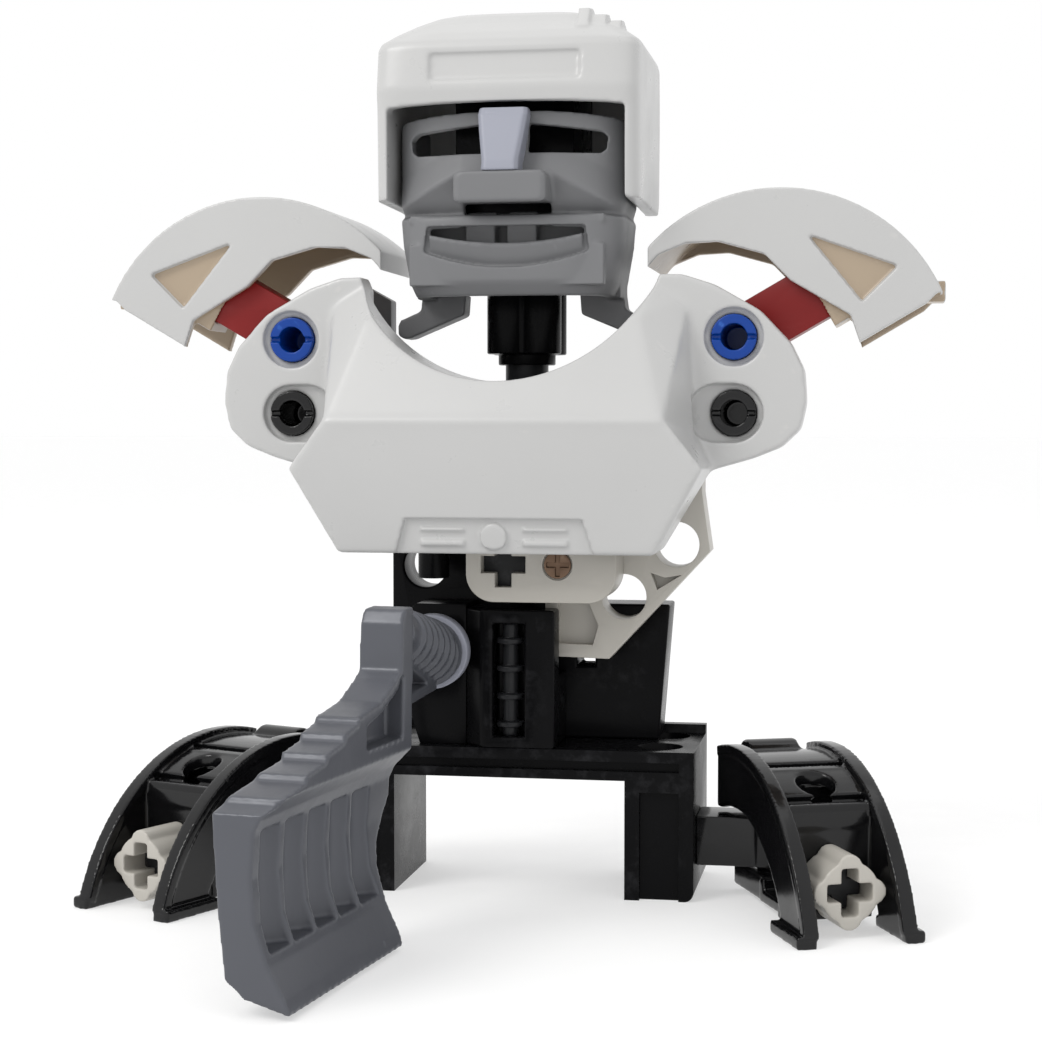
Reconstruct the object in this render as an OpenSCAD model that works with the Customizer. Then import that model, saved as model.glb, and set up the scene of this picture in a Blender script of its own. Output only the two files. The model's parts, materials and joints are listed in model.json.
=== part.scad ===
// Posable ice-hockey robot assembled from 8 mm grid construction-kit pieces.
// Millimetres throughout. +Z is up, the player looks towards -Y and the floor is z = 0.

/* [Kit fits] */
// Bore of a standard pin hole
hole_d = 4.9; // [4.88:0.01:4.96]
// Diameter of pins and axles
pin_d = 4.8; // [4.74:0.01:4.82]
// Wall of the moulded shells
shell_t = 1.6; // [1.2:0.1:2]

/* [Base] */
// Width of the base bridge
base_w = 40; // [38:0.5:40]
// Depth of the base bridge, front to back
base_d = 16; // [16:0.5:17]
// Thickness of the top plate of the bridge
deck_t = 3.2; // [2.6:0.1:4]
// Width of each leg post of the bridge
post_w = 7.4; // [7:0.1:8]

/* [Waist] */
// Width of the front column
column_w = 10; // [9:0.5:10]
// Length of the white housing at the waist
housing_w = 16; // [14:0.5:16]
// Distance between two rings of the return spring
ring_step = 3; // [2:0.25:4]

/* [Torso] */
// Half width of the chest at its widest facet
chest_half = 21.8; // [21:0.1:22.2]
// Radius of the round neckline
neckline_r = 17.2; // [16.6:0.1:17.6]
// Distance of the shoulder holes from the middle plane
shoulder_x = 24; // [24:0.1:24.4]

/* [Head] */
// Half width of the helmet
helmet_half = 14.2; // [14:0.1:14.4]
// Half width of the face mask
mask_half = 12.4; // [12:0.1:12.4]

/* [Shoulder pads] */
// Upward angle of the arm stubs
arm_angle = 30; // [28:1:32]
// Radius of the arched pad
pad_r = 18.7; // [18.4:0.1:19]

/* [Stick] */
// Distance of the blade tip in front of the middle plane
blade_reach = 59; // [56:0.5:60]
// Number of vertical flutes in the blade
flutes = 5; // [3:1:5]

/* [Feet] */
// Outward turn of each foot
foot_yaw = 23; // [20:1:28]
// Width of a skate over its rails
skate_w = 11.6; // [11:0.1:12]

/* [Hidden] */
round_fn = 72;
rear_reach = 13;
stand_shift = (blade_reach - rear_reach) / 2;
base_h = 16;
lip_h = 1;
lip_t = 1.5;
base_bore_x = 16;
base_bore_y = 4;
base_bore_bottom = 8;
portal_half = base_w / 2 - post_w;
joint_gap = 0.3;
column_front = -8;
column_top = 30.9;
spring_y = column_front + 1.55;
spring_low = base_h + 1.2;
spring_high = column_top - 1.5;
hip_front = 0.8;
hip_back = 6.4;
waist_z = 36;
housing_front = -11;
screw_x = 5.8;
screw_d = 2.6;
screw_back = -1.5;
stick_x = -8;
stick_z = 26.5;
disc_front = -10.3;
hub_front = -12.2;
hub_length = 18;
hub_end = -29;
hub_tilt = 13;
blade_turn = 8.5;
blade_pivot_y = hub_end;
flute_x = -7.6;
flute_d = 4.4;
blade_root = -28;
lever_front = 8.7;
lever_back = 11.4;
lever_length = 19;
lug_front = -8;
lug_back = -4;
arm_front = lug_back + joint_gap;
arm_back = 0.3;
arm_w = 6;
beam_front = 0.6;
beam_back = 8;
upper_pin_z = 60;
lower_pin_z = 52;
pin_head_d = 5.8;
sink_d = 6.2;
sink_depth = 0.9;
sink_x = 22.2;
pin_bore_d = 3;
bracket_pin_x = 16;
bracket_pin_z = 51;
stub_x = -9;
stub_y = -4;
stub_d = 3.4;
link_plate_t = 2.6;
neck_y = 4;
neckline_z = 72.5;
neck_sweep_r = 5.6;
connector_low = 58.6;
connector_high = 65.8;
helmet_front = -10.8;
label_half = 8.2;
brow_z = 84.3;
nose_top = 77.2;
mask_floor = 66;
jaw_top = 73.8;
spline_w = 1.8;
ankle_x = 28.8;
ankle_y = -2.4;
link_low = 3.5;
link_high = 8.8;
pad_front = -5.2;
pad_back = 12;
pad_skin = 1.3;
pad_centre_x = 28.4;
pad_centre_z = 57.1;
rail_t = 1.2;
rail_outer = skate_w / 2;
rail_inner = rail_outer - rail_t;
skin_half = rail_outer - 1;
fin_r = 22.5;
fin_inner_r = 16;
skin_r = 21.8;
skin_inner_r = 20.4;
sole_z = 0.6;
clamp_z = 9.4;
foot_bush_z = 4.6;
foot_bush_front = -20.4;
foot_bush_back = -14.5;
lobe_offset = 2.5;
foot_axle_d = 4.4;

kit_white = [0.9, 0.89, 0.85];
kit_black = [0.04, 0.04, 0.045];
kit_grey = [0.55, 0.56, 0.58];
kit_pale = [0.66, 0.68, 0.74];
kit_silver = [0.5, 0.52, 0.58];
kit_dark = [0.2, 0.2, 0.22];
kit_blue = [0.02, 0.28, 0.8];
kit_red = [0.48, 0.14, 0.14];
kit_brown = [0.38, 0.27, 0.2];

// ---- helpers ----

// Moves the finished robot so that its footprint is centred on the origin.
module stand() translate([0, stand_shift, 0]) children();

// Mirrors a right-hand piece to the left when side is -1.
module handed(side) scale([side, 1, 1]) children();

module box(x0, x1, y0, y1, z0, z1)
    translate([x0, y0, z0]) cube([x1 - x0, y1 - y0, z1 - z0]);

module rod_x(y, z, x0, x1, d)
    translate([x0, y, z]) rotate([0, 90, 0]) cylinder(d = d, h = x1 - x0, $fn = round_fn);

module rod_y(x, z, y0, y1, d)
    translate([x, y0, z]) rotate([-90, 0, 0]) cylinder(d = d, h = y1 - y0, $fn = round_fn);

module rod_z(x, y, z0, z1, d)
    translate([x, y, z0]) cylinder(d = d, h = z1 - z0, $fn = round_fn);

// Stands a flat outline drawn in x and z up as a plate between two depths.
module plate_y(y0, y1)
    translate([0, y1, 0]) rotate([90, 0, 0]) linear_extrude(y1 - y0) children();

// Thin slice of an outline, used as a station of a shell.
module station_y(y) plate_y(y, y + 0.05) children();

module station_z(z) translate([0, 0, z]) linear_extrude(0.4) children();

module spline_y(x, z, y0, y1, d, w) {
    box(x - d / 2, x + d / 2, y0, y1, z - w / 2, z + w / 2);
    box(x - w / 2, x + w / 2, y0, y1, z - d / 2, z + d / 2);
}

module hollow_pin(x, z, y0, y1) difference() {
    union() {
        rod_y(x, z, y0, y1, pin_d);
        rod_y(x, z, y0, y0 + 0.6, pin_head_d);
    }
    rod_y(x, z, y0 - 1, y0 + 5, pin_bore_d);
    box(x - 0.4, x + 0.4, y0 - 1, y0 + 3, z - 4, z + 4);
}

// ---- base ----

module portal_outline() difference() {
    union() {
        translate([-base_w / 2, 1]) square([base_w, base_h - 1]);
        translate([-base_w / 2 + 1, 0]) square([base_w - 2, 2]);
        for (x = [-base_w / 2 + 1, base_w / 2 - 1]) translate([x, 1]) circle(1, $fn = round_fn);
    }
    translate([-portal_half, -1]) square([2 * portal_half, base_h - deck_t + 1]);
}

module base_frame() color(kit_black) stand() difference() {
    union() {
        plate_y(-base_d / 2, base_d / 2) portal_outline();
        box(-base_w / 2, base_w / 2, base_d / 2 - lip_t, base_d / 2, base_h - 1, base_h + lip_h);
    }
    for (x = [-base_bore_x, base_bore_x], y = [-base_bore_y, base_bore_y])
        rod_z(x, y, base_bore_bottom, base_h + 2, hole_d);
    for (side = [-1, 1]) handed(side)
        box(portal_half + 1.6, base_w / 2 - 1.6, -base_d / 2 - 1, -base_d / 2 + 0.8, -1, base_h - 4.4);
    box(-base_w / 2 + 1.6, base_w / 2 - 1.6, -base_d / 2 - 1, -base_d / 2 + 0.8, base_h - 2.2, base_h - 1.2);
}

module waist_column() color(kit_black) stand() difference() {
    box(-column_w / 2, column_w / 2, column_front, hip_front, base_h, column_top);
    box(-1.7, 1.7, column_front - 1, 2 * spring_y - column_front, spring_low, spring_high);
    box(1.2, column_w, lug_back - 0.4, hip_front + 1, 23.6, column_top + 1);
    translate([-column_w / 2, column_front, base_h - 1]) rotate([0, 0, 45])
        translate([-1.4, -1.4, 0]) cube([2.8, 2.8, 20]);
}

module return_spring() color(kit_dark) stand() {
    rod_z(0, spring_y, spring_low, spring_high, 1.7);
    for (z = [spring_low + 1 : ring_step : spring_high - 0.9]) rod_z(0, spring_y, z, z + 0.6, 3);
}

module hip_outline() polygon([
    [-10.4, base_h], [-14.8, 30], [-14.8, 38], [-12.5, 40.3], [-8, 40.3], [-4, 40],
    [3, 40], [4.6, 37], [5.4, 31], [16.5, 31], [15.3, base_h]
]);

module hip_block() color(kit_black) stand() difference() {
    plate_y(hip_front, hip_back) hip_outline();
    rod_y(0, waist_z, hip_front - 1, hip_back + 1, hole_d);
    rod_y(stick_x, stick_z, hip_front - 1, hip_back + 1, hole_d);
    rod_y(-11, 35, hip_front - 1, hip_back + 1, hole_d);
    box(6.2, 8.2, hip_front - 1, hip_back + 1, 24, 26.4);
    box(9.5, 14, hip_front + 3.4, hip_back + 1, 19, 28.5);
}

module stick_bearing() color(kit_black) stand() difference() {
    plate_y(-6, hip_front) polygon([
        [-10.2, base_h], [-12.6, 24], [-12.6, 29.3], [-10.6, 31.3], [-5, 31.3], [-5, base_h]
    ]);
    rod_y(stick_x, stick_z, -7, hip_front + 1, hole_d);
}

module ankle_link(side) handed(side) difference() {
    union() {
        rod_z(ankle_x, ankle_y, link_low, link_high, 8);
        box(base_w / 2, ankle_x, ankle_y - 3, ankle_y + 3, link_low, link_high);
    }
    rod_z(ankle_x, ankle_y, link_low - 1, link_high + 1, pin_d);
}

module left_ankle_link() color(kit_black) stand() ankle_link(-1);

module right_ankle_link() color(kit_black) stand() ankle_link(1);

module ankle_pins() color(kit_dark) stand()
    for (x = [-ankle_x, ankle_x]) rod_z(x, ankle_y, 0.6, 12.8, pin_d);

// ---- upper body ----

// Half outline of the chest mirrored about the middle plane.
module both_halves() {
    children();
    mirror([1, 0]) children();
}

module chest_belly(t) hull() {
    station_y(-18.5 + t) translate([-16.8 + t, 51.1]) square([33.6 - 2 * t, 0.4]);
    station_y(-16.5 + t) translate([-16.6 + t, 37.3 + t]) square([33.2 - 2 * t, 2]);
    station_y(-13 + t) polygon([
        [-chest_half + t, 46.2], [-16.6 + t, 37.4 + t], [16.6 - t, 37.4 + t], [chest_half - t, 46.2],
        [17.6 - t, 51.2], [-17.6 + t, 51.2]
    ]);
    station_y(-7 + t) polygon([
        [-chest_half + t, 46.2], [-16.6 + t, 37.5 + t], [16.6 - t, 37.5 + t], [chest_half - t, 46.2],
        [18 - t, 51.2], [-18 + t, 51.2]
    ]);
}

module chest_breast(t) hull() {
    station_y(-18.5 + t) translate([-16.8 + t, 51]) square([33.6 - 2 * t, 0.5]);
    station_y(-12.5 + t) polygon([
        [-18 + t, 50], [18 - t, 50], [17.4 - t, 60], [14.5, 62 - t], [-14.5, 62 - t], [-17.4 + t, 60]
    ]);
    station_y(-7 + t) polygon([
        [-19.8 + t, 49], [19.8 - t, 49], [19.4 - t, 64.5],
        [15.6, 66.7 - t], [-15.6, 66.7 - t], [-19.4 + t, 64.5]
    ]);
}

module chest_solid(t) {
    chest_belly(t);
    chest_breast(t);
}

module lug_outline() polygon([
    [15.6, 66.7], [18.6, 66.6], [22, 65.5], [26.7, 62.8], [30, 59.3], [31.5, 56], [31.6, 53],
    [31, 50.3], [29, 48.4], [26, 47.2], [chest_half, 46], [19, 46.6], [15.6, 50]
]);

module belt_panel() translate([0, -16.5, 37.3]) rotate([8.1, 0, 0]) {
    plate_y(-1, 0.7) difference() {
        polygon([[-10.7, -1], [10.7, -1], [9.3, 3.8], [-9.3, 3.8]]);
        translate([0, 1.9]) circle(1.4, $fn = round_fn);
        for (x = [-7.7, 3.1], z = [1.1, 2.5]) translate([x, z]) square([4.6, 0.4]);
    }
}

module chest_shell() color(kit_white) stand() difference() {
    union() {
        difference() {
            chest_solid(0);
            difference() {
                union() {
                    chest_solid(shell_t);
                    translate([0, 6, 0]) chest_solid(shell_t);
                }
                rod_y(0, neckline_z, -20, 2, 2 * (neckline_r + shell_t));
            }
        }
        plate_y(lug_front, lug_back) both_halves() lug_outline();
    }
    rod_y(0, neckline_z, -21, 1, 2 * neckline_r);
    box(-14.6, 14.6, -14.6, lug_back + 1, 36, 41);
    belt_panel();
    for (x = [-shoulder_x, shoulder_x], z = [lower_pin_z, upper_pin_z]) {
        rod_y(x, z, lug_front - 1, lug_back + 1, hole_d);
        rod_y(x, z, lug_front - 1, lug_front + sink_depth, sink_d);
    }
    for (side = [-1, 1]) handed(side) {
        rod_y(sink_x, lower_pin_z, lug_front - 1, lug_front + sink_depth, sink_d);
        translate([sink_x, lug_front - 1, lower_pin_z - sink_d / 2])
            cube([shoulder_x - sink_x, sink_depth + 1, sink_d]);
    }
}

module beam_outline() polygon([
    [0, 48], [26, 48], [28.2, 50], [28.2, 62], [26.2, 64], [21.8, 64], [20, 62.2], [20, 56], [10, 54], [0, 54]
]);

module torso_beam() color(kit_black) stand() difference() {
    union() {
        plate_y(beam_front, beam_back) both_halves() beam_outline();
        box(-11.4, -6.6, -6.4, beam_front + 1, 48, 53);
    }
    for (x = [-shoulder_x, shoulder_x], z = [lower_pin_z, upper_pin_z])
        rod_y(x, z, beam_front - 1, beam_back + 1, hole_d);
    rod_y(bracket_pin_x, bracket_pin_z, beam_front - 1, beam_back + 1, hole_d);
    rod_z(0, neck_y, 47, 55, hole_d);
    rod_z(stub_x, stub_y, 47, 51, stub_d);
}

module back_link() color(kit_grey) stand() difference() {
    plate_y(beam_back, beam_back + link_plate_t) polygon([
        [-27.5, 49], [-20, 49], [-20, 56], [-16.6, 58], [-16.6, 65], [-19.5, 66.6], [-22.5, 65], [-27.5, 63]
    ]);
    for (z = [lower_pin_z, upper_pin_z]) rod_y(-shoulder_x, z, beam_back - 1, beam_back + 4, hole_d);
}

module shoulder_pins() color(kit_blue) stand()
    for (x = [-shoulder_x, shoulder_x]) hollow_pin(x, upper_pin_z, lug_front + 0.3, beam_back - 0.2);

module chest_pins() color(kit_black) stand()
    for (x = [-shoulder_x, shoulder_x]) hollow_pin(x, lower_pin_z, lug_front + 0.3, beam_back - 0.2);

module housing_outline() {
    translate([-4, waist_z - 1]) square([housing_w, 2]);
    translate([-1, waist_z - 4]) square([housing_w - 6, 8]);
    for (x = [-1, housing_w - 7], z = [waist_z - 1, waist_z + 1])
        translate([x, z]) circle(3, $fn = round_fn);
}

module waist_housing() color(kit_white) stand() difference() {
    plate_y(housing_front, lug_back) housing_outline();
    spline_y(0, waist_z, housing_front - 1, lug_back + 1, pin_d, spline_w);
    rod_y(screw_x, waist_z, housing_front - 1, lug_back + 1, screw_d);
    rod_y(screw_x, waist_z, housing_front - 1, housing_front + 0.4, 3.2);
}

module waist_axle() color(kit_dark) stand() {
    spline_y(0, waist_z, -9.2, hip_front - 0.2, pin_d, spline_w);
    rod_y(0, waist_z, hip_front - 0.2, 8.4, pin_d);
}

module axle_bush() color(kit_dark) stand() difference() {
    rod_y(0, waist_z, hip_back + joint_gap, 8.4, 7.4);
    rod_y(0, waist_z, hip_back, 9, pin_d);
}

module housing_screw() color(kit_brown) stand() difference() {
    union() {
        rod_y(screw_x, waist_z, housing_front + 0.4, screw_back, screw_d);
        rod_y(screw_x, waist_z, housing_front + 0.1, housing_front + 0.4, 2.9);
    }
    spline_y(screw_x, waist_z, housing_front - 0.2, housing_front + 0.5, 2.4, 0.5);
}

module bracket_plate() color(kit_white) stand() difference() {
    plate_y(lug_back, 0.5) polygon([
        [3.4, 25.6], [10.4, 25.4], [21.3, 37.2], [20.4, 43.5],
        [20.4, 55.4], [12.6, 55.4], [12.6, 45], [3.4, 42]
    ]);
    for (p = [[12, 32.2], [17.7, 37.9], [bracket_pin_x, bracket_pin_z]])
        rod_y(p[0], p[1], lug_back - 1, 1, hole_d);
    rod_y(screw_x, waist_z, lug_back - 1, screw_back, screw_d);
    plate_y(lug_back - 1, lug_back + 1.4) {
        polygon([[4.8, 27], [8.6, 26.9], [9.2, 29], [8, 31.8], [4.8, 31.8]]);
        polygon([[15.6, 33], [18.2, 34.6], [16.4, 34.3], [14.9, 34.8]]);
    }
}

module bracket_pin() color(kit_black) stand() hollow_tube(bracket_pin_x, bracket_pin_z);

module hollow_tube(x, z) difference() {
    rod_y(x, z, lug_back, beam_back - 0.2, pin_d);
    rod_y(x, z, lug_back - 1, beam_back + 1, pin_bore_d);
}

module hanging_stub() color(kit_black) stand() {
    rod_z(stub_x, stub_y, 34, 51, stub_d);
    rod_z(stub_x, stub_y, 38, 48, stub_d + 1.2);
}

module neck_axle() color(kit_dark) stand() rod_z(0, neck_y, 48.2, 73, pin_d);

module neck_connector() color(kit_black) stand() difference() {
    union() {
        for (x = [-1.9, 1.9], y = [-1.9, 1.9]) rod_z(x, neck_y + y, connector_low, connector_high, 4.5);
        box(-3.4, 3.4, neck_y - 3.4, neck_y + 3.4, connector_low, connector_high);
        rod_z(0, neck_y, connector_low - 1.2, connector_low, 6.4);
    }
    rod_z(0, neck_y, connector_low - 2, connector_high + 1, pin_d);
}

// ---- head ----

module head_core() color(kit_black) stand() difference() {
    union() {
        box(-6.5, 6.5, -4, 10, 66.2, 88);
        box(-4, 4, 0, 8, 88, 93.5);
    }
    rod_z(0, neck_y, 65, 73.4, hole_d);
}

module mask_section(hw, front, t) polygon([
    [-hw + t, 0], [-hw + t, -5 + t], [-hw + 2.2 + t / 2, front + 1.4 + t], [-5, front + t],
    [5, front + t], [hw - 2.2 - t / 2, front + 1.4 + t], [hw - t, -5 + t], [hw - t, 0]
]);

module mask_solid(t, top) hull() {
    station_z(top) mask_section(mask_half, -9.4, t);
    station_z(74) mask_section(mask_half, -10, t);
    station_z(72) mask_section(11.8, -9.8, t);
    station_z(66) mask_section(10.8, -9.2, t);
    station_z(64.7 + t / 2) mask_section(8.6, -8.4, t);
}

// Jaw in front of the shell, with its corners cut back.
module jaw_block() plate_y(-10.9, -8.7) polygon([
    [-9.2, mask_floor], [9.2, mask_floor], [10.4, 68], [10.4, jaw_top], [-10.4, jaw_top], [-10.4, 68]
]);

module face_mask() color(kit_grey) stand() difference() {
    union() {
        difference() {
            mask_solid(0, brow_z);
            translate([0, 1, 0]) mask_solid(shell_t, 87);
        }
        box(-4.9, 4.9, -13.4, -8.7, 73.7, nose_top);
        jaw_block();
        box(-3.4, 3.4, -8.9, -4, 74.6, 77.6);
        for (x = [-4, 1]) box(x, x + 3, -8.8, -6.4, mask_floor, jaw_top);
        for (side = [-1, 1]) handed(side) {
            box(9.6, 11.4, -2, 4.6, 64.5, 69);
            plate_y(0.8, 4.6) polygon([
                [9.6, 69], [11.4, 69], [14.2, 62], [14.2, 60.2], [12.6, 60.2], [9.6, 65]
            ]);
        }
    }
    for (side = [-1, 1]) handed(side)
        plate_y(-15, -6) polygon([[2.4, 79.5], [9.6, 79.9], [10.6, 81.1], [10.6, 82.8], [2.4, 82.8]]);
    plate_y(-15, -10.1) polygon([
        [-8.8, 72.1], [8.8, 72.1], [9, 69.4], [7.6, 68.4],
        [3.4, 67.5], [-3.4, 67.5], [-7.6, 68.4], [-9, 69.4]
    ]);
    plate_y(-15, -6) polygon([[-8, 72.1], [8, 72.1], [6.6, 71], [3, 70.4], [-3, 70.4], [-6.6, 71]]);
    box(-3.6, 3.6, -14, -11.6, 73, 74.8);
    rod_z(0, neck_y, 64, 66.4, 2 * neck_sweep_r);
}

module nose_bridge() color(kit_pale) stand()
    hull() {
        box(-1.9, 1.9, -13.4, -10.1, nose_top + 0.1, 78);
        box(-2.6, 2.6, -11.6, -10.1, 83, 84.2);
    }

module helmet_section(hw, y0, y1, c) polygon([
    [-hw + c, y0], [hw - c, y0], [hw, y0 + c], [hw, y1 - c],
    [hw - c, y1], [-hw + c, y1], [-hw, y1 - c], [-hw, y0 + c]
]);

module helmet_solid(t) hull() {
    station_z(85 - t) helmet_section(helmet_half - t, helmet_front + t, rear_reach - t, 1);
    station_z(86.2) helmet_section(helmet_half - t, helmet_front + t, rear_reach - t, 1);
    station_z(91 - t / 2) helmet_section(helmet_half - t, helmet_front + 0.7 + t, rear_reach - t, 1.2);
    station_z(93.2 - t) helmet_section(helmet_half - 3 - t, -7.8 + t, 11.6 - t, 1.6);
    station_z(94.8 - t) helmet_section(helmet_half - 5.8 - t, -4.8 + t, 9 - t, 2);
}

module helmet() color(kit_white) stand() difference() {
    union() {
        difference() {
            helmet_solid(0);
            helmet_solid(shell_t);
        }
        for (side = [-1, 1]) handed(side)
            translate([helmet_half, 0, 0]) rotate([0, -90, 0]) linear_extrude(1.5)
                polygon([[86, -9.8], [74.6, -9.8], [74.2, 9.6], [77, 12.4], [86, 12.4]]);
        box(-helmet_half + 1.4, helmet_half - 1.4, rear_reach - 1.8, rear_reach - 0.2, 77, 86);
        for (k = [0 : 2]) translate([7.4 + 1.7 * k, 0, -0.7 * k]) rotate([90, 0, 90]) linear_extrude(1.3)
            polygon([[-7.4, 92.2], [-8.9, 92.6], [-6.8, 94.7], [-4.4, 95.1], [-2.4, 94.4], [-2.4, 93.2]]);
    }
    box(-label_half, label_half, helmet_front - 1, helmet_front + 0.85, 87, 90);
}

// ---- arms ----

module along_arm() translate([shoulder_x, 0, upper_pin_z]) rotate([0, -arm_angle, 0]) children();

module arm_stub() difference() {
    plate_y(arm_front, arm_back) translate([shoulder_x, upper_pin_z]) union() {
        circle(3.6, $fn = round_fn);
        rotate(arm_angle) translate([1, -arm_w / 2]) square([13, arm_w]);
    }
    rod_y(shoulder_x, upper_pin_z, arm_front - 1, arm_back + 1, hole_d);
}

module left_arm_stub() color(kit_red) stand() handed(-1) arm_stub();

module right_arm_stub() color(kit_red) stand() arm_stub();

module pad_outline() polygon([
    [14.6, 68.4], [18.5, 70], [22, 70.2], [27, 68.8], [29.7, 66], [36, 62.3], [37, 59.4],
    [43.8, 63.4], [46.4, 66], [46, 80], [14.6, 80]
]);

module pad_window() polygon([[41, 67.4], [31.3, 70.9], [37.2, 63.6]]);

module pad_disc(y0, y1, cut) rod_y(pad_centre_x, pad_centre_z, y0, y1, 2 * (pad_r - cut));

module shoulder_pad() difference() {
    union() {
        intersection() {
            pad_disc(pad_front, pad_front + pad_skin, 0);
            plate_y(pad_front - 1, pad_back + 1) pad_outline();
        }
        intersection() {
            pad_disc(pad_back - pad_skin, pad_back, 0);
            plate_y(pad_front - 1, pad_back + 1) pad_outline();
        }
        intersection() {
            difference() {
                pad_disc(pad_front, pad_back, 0);
                pad_disc(pad_front - 1, pad_back + 1, pad_skin + 0.1);
            }
            box(14.6, 46, pad_front, pad_back, 64.6, 80);
        }
        along_arm() box(9.6, 15.6, pad_front + pad_skin - 0.2, arm_back + 1.3, -4.2, 4.2);
        box(43.6, 45.9, -1.5, 2.5, 63.8, 66);
    }
    plate_y(pad_front - 1, pad_front + pad_skin + 0.1) pad_window();
    along_arm() box(9, 14.05, pad_front + pad_skin, arm_back + 0.05, -3.05, 3.05);
}

module left_shoulder_pad() color(kit_white) stand() handed(-1) shoulder_pad();

module right_shoulder_pad() color(kit_white) stand() shoulder_pad();

// ---- stick ----

module stick_disc() color(kit_pale) stand() difference() {
    rod_y(stick_x, stick_z, disc_front, column_front - joint_gap, 8);
    rod_y(stick_x, stick_z, disc_front - 1, column_front, pin_d);
}

// Puts a piece in the blade's own turned frame, about the point where the blade meets the hub.
module at_blade() translate([stick_x, blade_pivot_y, 0]) rotate([0, 0, -blade_turn]) children();

module along_hub() translate([stick_x, -11.2, stick_z]) rotate([90 - hub_tilt, 0, 0]) children();

module stick_hub() color(kit_silver) stand() difference() {
    union() {
        rod_y(stick_x, stick_z, hub_front, disc_front, 7);
        along_hub() cylinder(d1 = 6.4, d2 = 4.6, h = hub_length, $fn = round_fn);
        for (k = [0 : 5]) along_hub() translate([0, 0, 2.2 + 2.3 * k])
            cylinder(d = 7 - 0.24 * k, h = 0.9, $fn = round_fn);
        box(stick_x - 1.3, stick_x + 1.3, hub_end, -13, 22.8, 28.6);
    }
    at_blade() box(-10, 10, -10, blade_root - blade_pivot_y, 0, 50);
    rod_y(stick_x, stick_z, hub_front - 0.2, disc_front + 1, pin_d);
    translate([stick_x - 2, 0, 0]) rotate([90, 0, 90]) linear_extrude(4)
        polygon([[-25.8, 23.9], [-16.6, 23.9], [-25.8, 26.8]]);
}

module blade_side() polygon([
    [-blade_reach, 0.6], [-blade_reach + 1, 0], [-33.6, 0], [-32.6, 1], [-31, 10], [-28, 14], [-28, 33],
    [-30.2, 32.8], [-31, 31.5], [-31, 27], [-32.2, 26.2], [-36, 24.5], [-41.4, 23.7], [-41.6, 23.2],
    [-44.6, 22.6], [-44.8, 22], [-48.6, 21.4], [-48.8, 20.8], [-53, 20.2], [-53.2, 19.6], [-57.2, 18.8],
    [-57.4, 18.2], [-blade_reach, 17.6]
]);

module blade_section() polygon([
    [-11.3, 3.2], [-9.4, 1.6], [-5, 0.4], [-5.6, 1.8], [-7.2, 4.6], [-8.4, 8], [-8.7, 12], [-8.4, 16],
    [-7.8, 17.2], [-6, 19], [-5.8, 34], [-10.2, 34], [-10.6, 20.5], [-12.4, 17.6], [-11.9, 9]
]);

module stick_blade() color(kit_silver) stand() at_blade()
    translate([-stick_x, -blade_pivot_y, 0]) difference() {
        intersection() {
            translate([-14, 0, 0]) rotate([90, 0, 90]) linear_extrude(14) blade_side();
            plate_y(-blade_reach - 1, -27) blade_section();
        }
        for (k = [0 : flutes - 1]) rod_z(flute_x, -blade_reach + 3.6 + 5 * k, 5.4, 16, flute_d);
        translate([-8, 0, 0]) rotate([90, 0, 90]) linear_extrude(4)
            polygon([[-39.5, 20.4], [-30.4, 20.4], [-30.4, 26.6], [-32, 25], [-36, 23.4], [-39.5, 22.6]]);
    }

module stick_axle() color(kit_black) stand() rod_y(stick_x, stick_z, hub_front - 0.2, lever_back, pin_d);

module trigger_lever() color(kit_black) stand() difference() {
    union() {
        rod_y(stick_x, stick_z, hip_back + joint_gap, lever_front + 0.5, 6.4);
        plate_y(lever_front, lever_back) translate([stick_x, stick_z]) union() {
            circle(4, $fn = round_fn);
            translate([1, -2.4]) square([lever_length - 1, 4.8]);
            translate([lever_length, 0]) circle(3.2, $fn = round_fn);
        }
    }
    rod_y(stick_x, stick_z, 6, 12, pin_d);
}

// ---- feet ----

module at_ankle(side) handed(side) translate([ankle_x, ankle_y, 0]) rotate([0, 0, foot_yaw]) children();

// Curved band of a skate: a ring about a low centre, cut to the length of the foot.
module skate_band(x0, x1, outer_r, inner_r, v0, v1) intersection() {
    difference() {
        rod_x(-2, -6, x0, x1, 2 * outer_r);
        rod_x(-2, -6, x0 - 1, x1 + 1, 2 * inner_r);
    }
    box(x0, x1, -v1, -v0, 0, 17);
}

module skate() difference() {
    union() {
        for (side = [-1, 1]) handed(side) {
            skate_band(rail_inner, rail_outer, fin_r, fin_inner_r, -4, 24);
            box(rail_inner, rail_outer + 0.9, -23.6, -15.6, 0, 1.2);
        }
        skate_band(-skin_half, skin_half, skin_r, skin_inner_r, -4, 14.6);
        box(-skin_half, skin_half, foot_bush_back, -12.6, sole_z, 12.4);
        box(-skin_half, skin_half, -8.2, -7, clamp_z, 15);
        box(-skin_half, skin_half, -6, 4, clamp_z, 13);
        box(-4, 4, -14, 4, sole_z, 1.9);
        box(-4, 4, -6, 4, sole_z, 3.1);
        rod_x(3.2, 14.2, -2.9, 2.9, 4.6);
    }
    box(-7, 7, -4.8, 9, -1, sole_z);
    box(-skate_w, 2 - rail_outer, -4.8, 5, -1, clamp_z - 0.2);
    box(rail_outer - 2, skate_w, -4.8, 5, -1, clamp_z - 0.2);
    rod_z(0, 0, -1, 13.2, hole_d);
    rod_z(0, -10.6, 9, 17, 4);
    rod_y(0, foot_bush_z, -15, -12, hole_d);
}

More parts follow.
